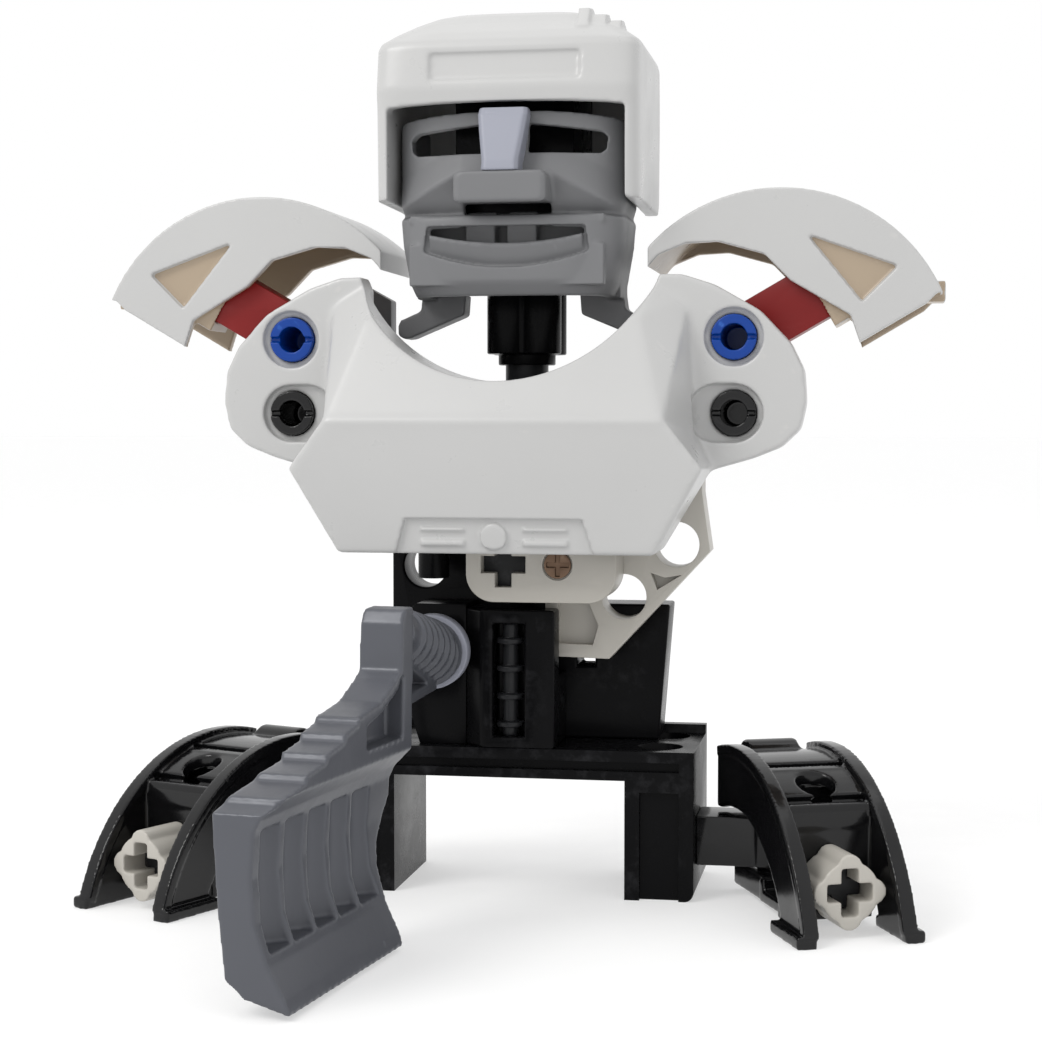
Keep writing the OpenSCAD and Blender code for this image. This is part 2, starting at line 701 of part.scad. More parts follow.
module foot_bush() difference() {
    union() {
        rod_y(0, foot_bush_z, foot_bush_front, foot_bush_back, 6.2);
        for (a = [0 : 90 : 270]) translate([lobe_offset * cos(a), 0, lobe_offset * sin(a)])
            rod_y(0, foot_bush_z, foot_bush_front, foot_bush_back, 2.6);
    }
    spline_y(0, foot_bush_z, foot_bush_front - 1, foot_bush_back + 0.5, pin_d, spline_w);
}

module foot_axle() spline_y(0, foot_bush_z, -17.4, -8.4, foot_axle_d, spline_w - 0.05);

module left_skate() color(kit_black) stand() at_ankle(-1) skate();

module right_skate() color(kit_black) stand() at_ankle(1) skate();

module left_foot_bush() color(kit_white) stand() at_ankle(-1) foot_bush();

module right_foot_bush() color(kit_white) stand() at_ankle(1) foot_bush();

module left_foot_axle() color(kit_dark) stand() at_ankle(-1) foot_axle();

module right_foot_axle() color(kit_dark) stand() at_ankle(1) foot_axle();

base_frame();
waist_column();
return_spring();
hip_block();
stick_bearing();
left_ankle_link();
right_ankle_link();
ankle_pins();
chest_shell();
torso_beam();
back_link();
shoulder_pins();
chest_pins();
waist_housing();
waist_axle();
axle_bush();
housing_screw();
bracket_plate();
bracket_pin();
hanging_stub();
neck_axle();
neck_connector();
head_core();
face_mask();
nose_bridge();
helmet();
left_arm_stub();
left_shoulder_pad();
right_arm_stub();
right_shoulder_pad();
stick_disc();
stick_hub();
stick_blade();
stick_axle();
trigger_lever();
left_skate();
left_foot_bush();
left_foot_axle();
right_skate();
right_foot_bush();
right_foot_axle();
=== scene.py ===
import json
import math

import bmesh
import bpy
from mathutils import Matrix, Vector


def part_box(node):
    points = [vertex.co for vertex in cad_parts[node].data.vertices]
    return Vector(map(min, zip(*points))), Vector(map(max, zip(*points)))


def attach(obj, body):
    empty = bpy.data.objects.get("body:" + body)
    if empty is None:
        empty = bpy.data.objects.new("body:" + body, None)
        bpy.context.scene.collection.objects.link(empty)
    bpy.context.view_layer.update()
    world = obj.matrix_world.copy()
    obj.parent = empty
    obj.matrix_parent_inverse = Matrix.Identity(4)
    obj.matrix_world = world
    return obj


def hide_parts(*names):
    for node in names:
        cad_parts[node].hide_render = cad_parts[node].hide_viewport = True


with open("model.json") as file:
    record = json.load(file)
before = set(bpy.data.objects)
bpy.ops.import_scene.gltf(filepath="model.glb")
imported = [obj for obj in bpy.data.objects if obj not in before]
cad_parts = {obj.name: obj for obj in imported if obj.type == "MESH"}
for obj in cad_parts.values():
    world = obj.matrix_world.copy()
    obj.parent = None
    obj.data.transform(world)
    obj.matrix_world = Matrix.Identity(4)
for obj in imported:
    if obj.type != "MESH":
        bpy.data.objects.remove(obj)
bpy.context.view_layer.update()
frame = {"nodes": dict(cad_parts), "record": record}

MM = 0.001
WELD_DISTANCE = 0.004 * MM
base_lo, base_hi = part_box("base_frame")
Y0 = (base_lo.y + base_hi.y) / 2


def at(x, y, z):
    """A point given in mm from the middle of the bridge, in the row frame in metres."""
    return Vector((x * MM, y * MM + Y0, z * MM))


# ---- materials ----

GRAIN_DEPTH = 0.08 * MM
WHITE, WORN_WHITE = (0.465, 0.465, 0.462), (0.53, 0.52, 0.51)
# tan painted inside the pads as painted shade and painted warm bounce light
SHADE_TAN = (0.36, 0.285, 0.205, 1)
PAD_MIDDLE = (28.4, 3.4, 57.1)
PAINTED_SHADE_Y = -4.7  # painted shade begins behind the pad's front skin


def ramp(tree, source, low, high, dark=(0, 0, 0, 1), light=(1, 1, 1, 1)):
    """Colour that runs from dark to light while the source goes from low to high."""
    node = tree.nodes.new("ShaderNodeValToRGB")
    node.color_ramp.elements[0].position = low
    node.color_ramp.elements[1].position = high
    node.color_ramp.elements[0].color = dark
    node.color_ramp.elements[1].color = light
    tree.links.new(source, node.inputs["Fac"])
    return node.outputs["Color"]


def noise_tex(tree, coords, scale, detail=3.0, rough=0.55):
    """Soft noise in the piece's own coordinates."""
    node = tree.nodes.new("ShaderNodeTexNoise")
    node.inputs["Scale"].default_value = scale
    node.inputs["Detail"].default_value = detail
    node.inputs["Roughness"].default_value = rough
    tree.links.new(coords, node.inputs["Vector"])
    return node.outputs["Fac"]


def plastic(name, color, rough, vary=0.05, wear=None, bump=0.12, grain=900.0, metallic=0.0,
            specular=0.5):
    """Moulded plastic: faintly cloudy colour, uneven gloss, fine grain, scuffed edges."""
    mat = bpy.data.materials.new(name)
    mat.use_nodes = True
    tree = mat.node_tree
    tree.nodes.clear()
    out = tree.nodes.new("ShaderNodeOutputMaterial")
    bsdf = tree.nodes.new("ShaderNodeBsdfPrincipled")
    tree.links.new(bsdf.outputs["BSDF"], out.inputs["Surface"])
    coords = tree.nodes.new("ShaderNodeTexCoord").outputs["Object"]
    cloud = noise_tex(tree, coords, 70.0)
    low = tuple(c * (1 - vary) for c in color) + (1,)
    high = tuple(min(1, c * (1 + vary)) for c in color) + (1,)
    base = ramp(tree, cloud, 0.3, 0.7, low, high)
    shape = tree.nodes.new("ShaderNodeNewGeometry")
    edge = ramp(tree, shape.outputs["Pointiness"], 0.555, 0.65)
    scuff = noise_tex(tree, coords, 420.0, 4.0, 0.7)
    scuff_mask = ramp(tree, scuff, 0.5, 0.75)
    wear_fac = tree.nodes.new("ShaderNodeMath")
    wear_fac.operation = "MULTIPLY"
    tree.links.new(edge, wear_fac.inputs[0])
    tree.links.new(scuff_mask, wear_fac.inputs[1])
    mix = tree.nodes.new("ShaderNodeMix")
    mix.data_type = "RGBA"
    mix.inputs["B"].default_value = tuple(wear or [min(1, c * 1.25 + 0.02) for c in color]) + (1,)
    tree.links.new(wear_fac.outputs[0], mix.inputs["Factor"])
    tree.links.new(base, mix.inputs["A"])
    tree.links.new(mix.outputs["Result"], bsdf.inputs["Base Color"])
    gloss = tree.nodes.new("ShaderNodeMapRange")
    gloss.inputs["From Min"].default_value = 0.3
    gloss.inputs["From Max"].default_value = 0.7
    gloss.inputs["To Min"].default_value = rough * 0.85
    gloss.inputs["To Max"].default_value = rough * 1.25
    tree.links.new(noise_tex(tree, coords, 160.0, 5.0, 0.65), gloss.inputs["Value"])
    tree.links.new(gloss.outputs["Result"], bsdf.inputs["Roughness"])
    fine = noise_tex(tree, coords, grain, 2.0)
    bump_node = tree.nodes.new("ShaderNodeBump")
    bump_node.inputs["Strength"].default_value = bump
    bump_node.inputs["Distance"].default_value = GRAIN_DEPTH
    tree.links.new(fine, bump_node.inputs["Height"])
    tree.links.new(bump_node.outputs["Normal"], bsdf.inputs["Normal"])
    bsdf.inputs["Metallic"].default_value = metallic
    bsdf.inputs["Specular IOR Level"].default_value = specular
    return mat


def floor_paint():
    """Matt studio paper that stays pale where the lights fall off."""
    mat = plastic("floor_paint", (0.50, 0.50, 0.50), 0.7, 0.01, None, 0.04, grain=300.0, specular=0.1)
    bsdf = next(n for n in mat.node_tree.nodes if n.type == "BSDF_PRINCIPLED")
    bsdf.inputs["Emission Color"].default_value = (1, 1, 1, 1)
    bsdf.inputs["Emission Strength"].default_value = 0.46
    return mat


def plastic_with_painted_shade(name, middle):
    """White plastic with tan painted on the faces that look into the pad: painted shade and painted warm
    bounce light from the red arm.
    """
    mat = plastic(name, WHITE, 0.30, 0.012, WORN_WHITE, 0.06)
    tree = mat.node_tree
    bsdf = next(n for n in tree.nodes if n.type == "BSDF_PRINCIPLED")
    shell = bsdf.inputs["Base Color"].links[0].from_socket
    coords = tree.nodes.new("ShaderNodeTexCoord")

    def split(socket, axis):
        node = tree.nodes.new("ShaderNodeSeparateXYZ")
        tree.links.new(socket, node.inputs[0])
        return node.outputs[axis]

    def maths(operation, first, second):
        node = tree.nodes.new("ShaderNodeMath")
        node.operation = operation
        for slot, value in enumerate((first, second)):
            if isinstance(value, float):
                node.inputs[slot].default_value = value
            else:
                tree.links.new(value, node.inputs[slot])
        return node.outputs[0]

    away = tree.nodes.new("ShaderNodeVectorMath")
    away.operation = "SUBTRACT"
    away.inputs[1].default_value = middle
    tree.links.new(coords.outputs["Object"], away.inputs[0])
    dot = tree.nodes.new("ShaderNodeVectorMath")
    dot.operation = "DOT_PRODUCT"
    tree.links.new(away.outputs["Vector"], dot.inputs[0])
    tree.links.new(coords.outputs["Normal"], dot.inputs[1])
    behind = maths("GREATER_THAN", split(coords.outputs["Object"], "Y"), at(0, PAINTED_SHADE_Y, 0).y)
    inward = maths("LESS_THAN", dot.outputs["Value"], 0.0)
    forward = maths("LESS_THAN", split(coords.outputs["Normal"], "Y"), -0.7)
    mix = tree.nodes.new("ShaderNodeMix")
    mix.data_type = "RGBA"
    # painted shade: tan on faces behind the front skin that point into the pad or forward
    tree.links.new(maths("MULTIPLY", behind, maths("MAXIMUM", inward, forward)), mix.inputs["Factor"])
    tree.links.new(shell, mix.inputs["A"])
    mix.inputs["B"].default_value = SHADE_TAN
    tree.links.new(mix.outputs["Result"], bsdf.inputs["Base Color"])
    return mat


MATS = {
    "white_plastic": plastic("white_plastic", WHITE, 0.30, 0.012, WORN_WHITE, 0.06),
    "cream_plastic": plastic("cream_plastic", (0.435, 0.415, 0.375), 0.34, 0.02, (0.50, 0.48, 0.44), 0.06),
    "black_plastic": plastic("black_plastic", (0.0035, 0.0035, 0.004), 0.26, 0.1, (0.02, 0.02, 0.022), 0.06,
                             specular=0.07),
    "black_gloss": plastic("black_gloss", (0.004, 0.004, 0.0045), 0.14, 0.1, (0.02, 0.02, 0.022), 0.05,
                           specular=0.36),
    "dark_plastic": plastic("dark_plastic", (0.014, 0.0145, 0.016), 0.34, 0.08, (0.05, 0.05, 0.055), 0.1,
                            specular=0.2),
    "grey_plastic": plastic("grey_plastic", (0.163, 0.165, 0.171), 0.46, 0.025, (0.22, 0.22, 0.23), 0.12,
                            specular=0.35),
    "pale_plastic": plastic("pale_plastic", (0.27, 0.28, 0.33), 0.40, 0.025, (0.32, 0.33, 0.38), 0.1,
                            specular=0.35),
    "silver_plastic": plastic("silver_plastic", (0.080, 0.084, 0.098), 0.34, 0.04, (0.18, 0.19, 0.21), 0.12,
                              metallic=0.2, specular=0.45),
    "blue_plastic": plastic("blue_plastic", (0.0, 0.040, 0.26), 0.34, 0.04, (0.03, 0.12, 0.45), 0.06,
                            specular=0.3),
    "red_plastic": plastic("red_plastic", (0.19, 0.009, 0.009), 0.38, 0.06, (0.26, 0.04, 0.04), 0.1,
                           specular=0.25),
    "screw_metal": plastic("screw_metal", (0.16, 0.10, 0.065), 0.42, 0.15, (0.35, 0.27, 0.2), 0.2,
                           metallic=0.7),
    # pad materials carry the painted tan shade on their insides
    "left_pad_painted_shade": plastic_with_painted_shade("left_pad_painted_shade", at(-PAD_MIDDLE[0], *PAD_MIDDLE[1:])),
    "right_pad_painted_shade": plastic_with_painted_shade("right_pad_painted_shade", at(*PAD_MIDDLE)),
    "floor_paint": floor_paint(),
}


def paint(obj, slot):
    obj.data.materials.clear()
    obj.data.materials.append(MATS[slot])


# ---- shaping of meshes ----

SLOT_OF = {s["node"]: s["material_slot"] for s in frame["record"]["subparts"]}
BODY_OF = {n: b for b, nodes in frame["record"]["behaviour"]["bodies"].items() for n in nodes}
GLOSSY = {"left_skate", "right_skate", "left_ankle_link", "right_ankle_link"}


def link(name, mesh):
    obj = bpy.data.objects.new(name, mesh)
    bpy.context.scene.collection.objects.link(obj)
    return obj


def bake_modifiers(obj):
    """Replaces the object's mesh by what its modifiers make of it."""
    graph = bpy.context.evaluated_depsgraph_get()
    graph.update()
    mesh = bpy.data.meshes.new_from_object(obj.evaluated_get(graph))
    obj.modifiers.clear()
    obj.data = mesh


def shade_smooth(obj):
    for poly in obj.data.polygons:
        poly.use_smooth = True


def copy_of(node, name):
    """A welded copy of a CAD node's mesh, free to be reshaped."""
    mesh = frame["nodes"][node].data.copy()
    bm = bmesh.new()
    bm.from_mesh(mesh)
    bmesh.ops.remove_doubles(bm, verts=bm.verts, dist=WELD_DISTANCE)
    bm.to_mesh(mesh)
    bm.free()
    return link(name, mesh)


def mould(obj, voxel, rounds, keep=0.35):
    """Fuses overlapping solids and rounds every edge as a mould does."""
    remesh = obj.modifiers.new("voxels", "REMESH")
    remesh.mode = "VOXEL"
    remesh.voxel_size = voxel * MM
    remesh.adaptivity = 0.0
    smooth = obj.modifiers.new("rounding", "SMOOTH")
    smooth.factor = 0.5
    smooth.iterations = rounds
    thin = obj.modifiers.new("thin", "DECIMATE")
    thin.ratio = keep
    bake_modifiers(obj)
    shade_smooth(obj)


def dress(obj, node, slot=None):
    """The piece stands for a CAD node: same body, same material slot."""
    paint(obj, slot or SLOT_OF[node])
    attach(obj, BODY_OF[node])
    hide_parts(node)
    return obj


def soften(obj, width):
    """Rounds the sharp edges of a CAD node by some mm without touching its mesh."""
    weld = obj.modifiers.new("weld", "WELD")
    weld.merge_threshold = WELD_DISTANCE
    flat = obj.modifiers.new("flat", "DECIMATE")
    flat.decimate_type = "DISSOLVE"
    flat.angle_limit = math.radians(1.0)
    bevel = obj.modifiers.new("round", "BEVEL")
    bevel.width = width * MM
    bevel.segments = 3
    bevel.limit_method = "ANGLE"
    bevel.angle_limit = math.radians(25)
    bevel.use_clamp_overlap = True
    bevel.harden_normals = True


# ---- CAD nodes that keep their shape: softened edges and moulded plastic ----

EDGE_MM = {"base_frame": 0.5, "waist_column": 0.3, "hip_block": 0.45, "waist_housing": 0.35,
           "bracket_plate": 0.35, "head_core": 0.4, "torso_beam": 0.4, "back_link": 0.4}
for node_name, node_obj in frame["nodes"].items():
    paint(node_obj, "black_gloss" if node_name in GLOSSY else SLOT_OF[node_name])
    shade_smooth(node_obj)
    soften(node_obj, EDGE_MM.get(node_name, 0.18))


# ---- moulded copies of the stick and the bushes: voxel size in mm, rounding passes ----

MOULDED = {"stick_blade": (0.2, 5), "stick_hub": (0.18, 3),
           "left_foot_bush": (0.15, 4), "right_foot_bush": (0.15, 4)}
for node_name, (voxel, rounds) in MOULDED.items():
    piece = copy_of(node_name, node_name + "_moulded")
    mould(piece, voxel, rounds)
    dress(piece, node_name)


# ---- solids for the moulded pieces ----

def solid(name, rings):
    """A closed solid lofted through rings of equal length, given in mm."""
    bm = bmesh.new()
    rows = [[bm.verts.new(at(*p)) for p in ring] for ring in rings]
    count = len(rows[0])
    for low, high in zip(rows, rows[1:]):
        for i in range(count):
            j = (i + 1) % count
            bm.faces.new((low[i], low[j], high[j], high[i]))
    bm.faces.new(rows[0][::-1])
    bm.faces.new(rows[-1])
    bmesh.ops.recalc_face_normals(bm, faces=bm.faces)
    mesh = bpy.data.meshes.new(name)
    bm.to_mesh(mesh)
    bm.free()
    return link(name, mesh)


def prism(name, outline, low, high, axis="y"):
    """A closed prism: the outline is (x, z) along y, or (y, z) along x."""
    if axis == "x":
        return solid(name, [[(d, a, b) for a, b in outline] for d in (low, high)])
    return solid(name, [[(a, d, b) for a, b in outline] for d in (low, high)])


def mirrored(side, outline):
    """The outline for the right side (+1) or, turned over in x, for the left side (-1)."""
    return [(side * x, z) for x, z in outline]


def brick(name, x0, x1, y0, y1, z0, z1):
    """A box between two corners in mm."""
    return prism(name, [(x0, z0), (x1, z0), (x1, z1), (x0, z1)], y0, y1)


def fuse(target, *parts):
    """Adds closed solids to the target's mesh; the voxel pass later makes them one."""
    bm = bmesh.new()
    bm.from_mesh(target.data)
    for part in parts:
        bm.from_mesh(part.data)
        bpy.data.objects.remove(part)
    bm.to_mesh(target.data)
    bm.free()
    return target


def voxels(obj, size):
    """Makes one clean closed skin of the solids in the mesh."""
    remesh = obj.modifiers.new("voxels", "REMESH")
    remesh.mode = "VOXEL"
    remesh.voxel_size = size * MM
    bake_modifiers(obj)
    return obj


def carve(target, *cutters):
    """Cuts closed solids out of the target."""
    for cutter in cutters:
        cut = target.modifiers.new("cut", "BOOLEAN")
        cut.operation = "DIFFERENCE"
        cut.solver = "EXACT"
        cut.object = cutter
        bake_modifiers(target)
        bpy.data.objects.remove(cutter)
    return target


def lerp_table(table, value):
    """Straight-line reading of a table of (place, value) pairs."""
    for (a, va), (b, vb) in zip(table, table[1:]):
        if value <= b:
            t = max(0.0, (value - a) / (b - a))
            return va + (vb - va) * t
    return table[-1][1]


# ---- face mask ----

MASK_TOP, MASK_LOW, MASK_BACK = 83.9, 64.5, 4.4
MASK_WALL = 1.3
JAW_TOP = 72.9
MASK_HALF = [(64.5, 10.7), (66.0, 11.3), (70.0, 12.0), (72.9, 12.25), (73.3, 11.9), (74.6, 12.3),
             (83.9, 12.35)]
JAW_FRONT = [(64.5, -8.6), (66.0, -9.9), (69.5, -10.4), (72.6, -10.3), (72.9, -10.0)]


def mask_front(x, z):
    """Depth of the mask's surface: a jaw block, cheeks with a fold, and flat eye panels."""
    if z <= JAW_TOP:
        return lerp_table(JAW_FRONT, z)
    fold = 77.4 - 0.52 * max(0.0, abs(x) - 4.8)
    if z < fold:
        return -8.0 - 2.5 * (z - JAW_TOP) / (fold - JAW_TOP)
    return -10.5 + 1.8 * min(1.0, (z - fold) / 3.4)


def mask_ring(z, wall):
    """One level of the mask, from cheek to cheek, some way inside its surface."""
    half = lerp_table(MASK_HALF, z) - wall
    points = []
    for i in range(65):
        s = math.radians(-90 + i * 180 / 64)
        x = half * math.copysign(abs(math.sin(s)) ** 0.58, s)
        bulge = abs(math.cos(s)) ** 0.55
        front = mask_front(x, z) + wall
        points.append((x, -2.5 + (front + 2.5) * bulge, z))
    return [(-half, MASK_BACK, z)] + points + [(half, MASK_BACK, z)]


def bow(half, ends, middle, steps=12):
    """Points of a shallow curve in x and z, from left to right."""
    curve = []
    for i in range(steps + 1):
        t = 2 * i / steps - 1
        curve.append((half * t, middle + (ends - middle) * t * t))
    return curve


PRONG = [(6.4, 65.2), (11.3, 65.2), (11.5, 63.4), (13.8, 62.4), (14.15, 61.8), (14.1, 60.7), (13.4, 60.3),
         (12.6, 60.4), (6.6, 62.9)]
NOSE_BLOCK = [(-4.9, 74.3), (-4.5, 73.9), (4.5, 73.9), (4.9, 74.3), (4.9, 76.7), (4.4, 77.2), (-4.4, 77.2),
              (-4.9, 76.7)]
NOSE_MIDDLE = 75.55
EYE = [(2.3, 79.4), (9.9, 79.45), (10.5, 79.9), (10.6, 81.2), (9.9, 81.75), (2.3, 82.6)]


def face_mask():
    """A shell with eye slots, a nose block, jaw posts behind the mouth, a lip and two prongs."""
    levels = [MASK_LOW + i * 0.4 for i in range(21)] + [72.85, 72.95, 73.1]
    levels += [73.4 + i * 0.3 for i in range(35)]
    levels = [z for z in levels if z < MASK_TOP] + [MASK_TOP]
    rings = [mask_ring(z, 0) + mask_ring(z, MASK_WALL)[::-1] for z in levels]
    mask = solid("face_mask_shell", rings)
    extras = []
    for side in (-1, 1):
        extras.append(prism("prong", mirrored(side, PRONG), 0.8, MASK_BACK))
        low, high = sorted((side * 9.6, side * 11.3))
        extras.append(brick("strap", low, high, -2, MASK_BACK, MASK_LOW, 69))
    extras.append(brick("left_post", -4.7, -1.5, -7.6, -5.2, 66.5, 73.5))
    extras.append(brick("right_post", -0.2, 3.0, -7.6, -5.2, 66.5, 73.5))
    extras.append(brick("inner_wall", -10.5, 10.5, -5.4, -4.6, 65.0, 73.5))
    extras.append(brick("jaw_roof", -10.5, 10.5, -9.0, -4.6, 72.2, 73.0))
    extras.append(brick("chin_wall", -10.5, 10.5, -9.4, -7.9, 65.5, 69.9))
    rings = [[(x * k, y, NOSE_MIDDLE + (z - NOSE_MIDDLE) * k) for x, z in NOSE_BLOCK]
             for y, k in ((-13.6, 0.9), (-13.2, 1), (-8.0, 1))]
    voxels(fuse(mask, solid("nose", rings), *extras), 0.2)
    eyes = [prism("eye", mirrored(side, EYE), -20, -4) for side in (-1, 1)]
    mouth = prism("mouth", bow(8.9, 69.1, 67.4) + [(8.5, 71.8), (-8.5, 71.8)], -20, -8.9)
    opening = prism("gap", bow(8.0, 70.9, 70.0) + [(8.0, 71.6), (-8.0, 71.6)], -9.6, -7.5)
    behind = brick("behind", -8.3, 8.3, -9.2, -7.6, 69.7, 71.6)
    under = brick("under", -4.7, 4.7, -13.0, -6.5, 73.0, 74.25)
    brow = prism("brow", bow(16, 82.4, 84.0) + [(16, 90), (-16, 90)], -20, 6)
    carve(mask, *eyes, mouth, opening, behind, under, brow)
    rings = []
    for x, low in bow(8.2, 69.0, 67.3):
        high = 70.0 + 0.9 * (x / 8.2) ** 2
        rings.append([(x, -7.9, low), (x, -8.8, low), (x, -9.9, high - 0.3), (x, -9.7, high),
                      (x, -7.9, high)])
    fuse(mask, solid("lip", rings))
    mould(mask, 0.16, 3)
    return dress(mask, "face_mask")


BRIDGE_STATIONS = [  # height, half width, front, back
    (77.2, 2.0, -13.5, -9.6), (78.2, 1.95, -13.3, -9.4), (80.6, 2.3, -12.5, -9.2),
    (83.2, 2.65, -11.6, -9.0), (84.0, 2.6, -11.0, -9.0)]


def nose_bridge():
    """A wedge that leans forward from the brow to the nose block."""
    rings = [[(-w, back, z), (w, back, z), (w, front + 0.5, z), (w - 0.4, front, z), (-w + 0.4, front, z),
              (-w, front + 0.5, z)] for z, w, front, back in BRIDGE_STATIONS]
    bridge = solid("nose_bridge_wedge", rings)
    mould(bridge, 0.12, 4)
    return dress(bridge, "nose_bridge")


# ---- helmet ----

HELMET_STATIONS = [  # height, half width, front, back, squareness
    (74.0, 14.15, -10.3, 12.9, 0.16), (84.2, 14.2, -10.5, 13.0, 0.16), (86.0, 14.2, -10.8, 13.0, 0.16),
    (86.4, 14.2, -10.8, 13.0, 0.16), (90.6, 14.2, -10.2, 12.9, 0.18), (91.3, 14.0, -9.9, 12.7, 0.20),
    (92.3, 12.7, -9.0, 12.2, 0.24), (93.5, 10.8, -7.4, 11.2, 0.28), (94.5, 9.0, -5.6, 10.0, 0.34),
    (95.0, 7.6, -4.2, 8.8, 0.42), (95.2, 5.8, -2.6, 7.2, 0.5)]


HELMET_WALL = 1.5
SKIRT = [(-20, 60), (-20, 74.7), (-9.6, 74.6), (9.4, 74.3), (12.4, 77), (20, 77), (20, 60)]
RIDGE = [(-7.4, 92.2), (-8.9, 92.6), (-6.8, 94.8), (-4.4, 95.15), (-2.4, 94.6), (-2.4, 93.2)]


def helmet_ring(half, front, back, power, z, sides=96):
    """One level of the helmet: a rounded square that is squarer for a smaller power."""
    mid, reach = (front + back) / 2, (back - front) / 2
    ring = []
    for i in range(sides):
        a = math.radians(i * 360 / sides)
        ring.append((half * math.copysign(abs(math.cos(a)) ** power, math.cos(a)),
                     mid + reach * math.copysign(abs(math.sin(a)) ** power, math.sin(a)), z))
    return ring


def helmet():
    """A hollow shell, open below and at the face, with a label recess and three ridges on its crown."""
    outer = [helmet_ring(w, f, b, p, z) for z, w, f, b, p in HELMET_STATIONS]
    shell = solid("helmet_shell", outer)
    wall = HELMET_WALL
    inner = [helmet_ring(w - wall, f + wall, b - wall, p, z - (0 if z < 85 else wall))
             for z, w, f, b, p in HELMET_STATIONS if w > 6]
    inner = [[(x, y, 70.0) for x, y, z in inner[0]]] + inner
    hollow = solid("helmet_hollow", inner)
    face = prism("face", bow(12.7, 84.3, 84.8) + [(12.7, 60), (-12.7, 60)], -20, -2)
    skirt = prism("skirt", SKIRT, -20, 20, "x")
    label = prism("label", [(-14, 87.0), (-10.35, 87.0), (-9.85, 90.0), (-14, 90.0)], -8.1, 8.1, "x")
    carve(shell, hollow, face, skirt, label)
    ridges = []
    for low, high, drop in ((7.4, 8.7, 0.0), (9.1, 10.4, 0.7), (10.8, 12.0, 1.4)):
        ridges.append(prism("ridge", [(y, z - drop) for y, z in RIDGE], low, high, "x"))
    fuse(shell, *ridges)
    mould(shell, 0.2, 4, keep=0.6)
    return dress(shell, "helmet")


# ---- skates ----

HINGES = {joint["name"]: Vector(joint["pos_m"]) for joint in frame["record"]["behaviour"]["joints"]}
FOOT_YAW = math.radians(23.0)
ARCH_V, ARCH_Z = -2.0, -6.0


def foot_prism(name, side, outline, low, high):
    """A prism across the foot: the outline is (forward, up) in the foot's own turned frame."""
    ankle = HINGES["right_ankle_turn"]
    c, s = math.cos(FOOT_YAW), math.sin(FOOT_YAW)
    rings = []
    for u in (low, high):
        rings.append([(side * (ankle.x / MM + u * c - v * s), (ankle.y - Y0) / MM + u * s + v * c, z)
                      for v, z in outline])
    return solid(name, rings)


def arch(inner, outer, first, last, steps=40):
    """Band of the foot's arch between two radii, from one angle to another in degrees."""
    angles = [math.radians(first + (last - first) * i / steps) for i in range(steps + 1)]
    near = [(ARCH_V - inner * math.sin(a), ARCH_Z + inner * math.cos(a)) for a in angles]
    far = [(ARCH_V - outer * math.sin(a), ARCH_Z + outer * math.cos(a)) for a in angles]
    return near + far[::-1]


def skate(node, side):
    """The CAD skate with grooves across its skin and a bead along each curved fin."""
    piece = voxels(copy_of(node, node + "_moulded"), 0.2)
    grooves = []
    for middle in (12.6, 30.6):
        band = arch(20.95, 23.0, middle - 1.4, middle + 1.4, 4)
        grooves.append(foot_prism("groove", side, band, -4.55, 4.55))
    carve(piece, *grooves)
    beads = []
    for low, high in ((-5.95, -4.35), (4.35, 5.95)):
        beads.append(foot_prism("bead", side, arch(21.5, 22.6, -15, 72), low, high))
    fuse(piece, *beads)
    mould(piece, 0.17, 3)
    return dress(piece, node, "black_gloss")


# ---- chest shell ----

CHEST_WALL = 1.5
NECK_X, NECK_Z, NECK_R = 0, 72.5, 17.2
SINK_R, BORE_R = 3.1, 2.45
PIN_X = 24
PIN_Z = {"shoulder_pins": 60, "chest_pins": 52}
INNER_SINK_X = 22.2
BELT_LEAN = math.radians(8.1)


def hull_solid(name, points):
    """The convex solid around some points given in mm."""
    bm = bmesh.new()
    for p in points:
        bm.verts.new(at(*p))
    hull = bmesh.ops.convex_hull(bm, input=bm.verts)
    spare = hull["geom_interior"] + hull["geom_unused"]
    inside = {g for g in spare if isinstance(g, bmesh.types.BMVert)}
    bmesh.ops.delete(bm, geom=list(inside), context="VERTS")
    bmesh.ops.recalc_face_normals(bm, faces=bm.faces)
    mesh = bpy.data.meshes.new(name)
    bm.to_mesh(mesh)
    bm.free()
    return link(name, mesh)


def disc_outline(x, z, radius, sides=64):
    """A circle in x and z."""
    return [(x + radius * math.cos(math.radians(i * 360 / sides)),
             z + radius * math.sin(math.radians(i * 360 / sides))) for i in range(sides)]


def both_sides(points):
    """The points and their mirror images in x."""
    return [(side * x, y, z) for side in (-1, 1) for x, y, z in points]


def belly(t):
    """Corners of the lower chest, some way inside its surface."""
    return both_sides([(17.6 - t, -18.5 + t, 51.4), (21.6 - t, -17.8 + t, 46.2),
                       (16.6 - t, -16.5 + t, 37.4 + t), (21.8 - t, -7, 46.2), (16.6 - t, -7, 37.5 + t),
                       (19.0 - t, -7, 52)])


def breast(t):
    """Corners of the upper chest, some way inside its surface."""
    return both_sides([(17.6 - t, -18.5 + t, 51.0), (16.8 - t, -12.3 + t, 60),
                       (14.5 - t, -12.5 + t, 62 - t), (15.6 - t, -7, 66.6 - t), (19.4 - t, -7, 64.3),
                       (20.6 - t, -7, 48.5)])


LUG = [(15.6, 66.7), (18.6, 66.6), (22, 65.5), (26.7, 62.8), (30, 59.3), (31.4, 56.4), (31.6, 53),
       (31, 50.3), (29, 48.4), (26, 47.2), (21.8, 46), (19, 46.6), (15.6, 50)]


def belt_prism(name, outline, front, back):
    """A prism in the belt panel's own frame, which leans with the lower chest."""
    c, s = math.cos(BELT_LEAN), math.sin(BELT_LEAN)
    rings = []
    for depth in (front, back):
        rings.append([(x, -16.5 + depth * c - z * s, 37.3 + depth * s + z * c) for x, z in outline])
    return solid(name, rings)


def box_outline(x0, x1, z0, z1):
    return [(x0, z0), (x1, z0), (x1, z1), (x0, z1)]


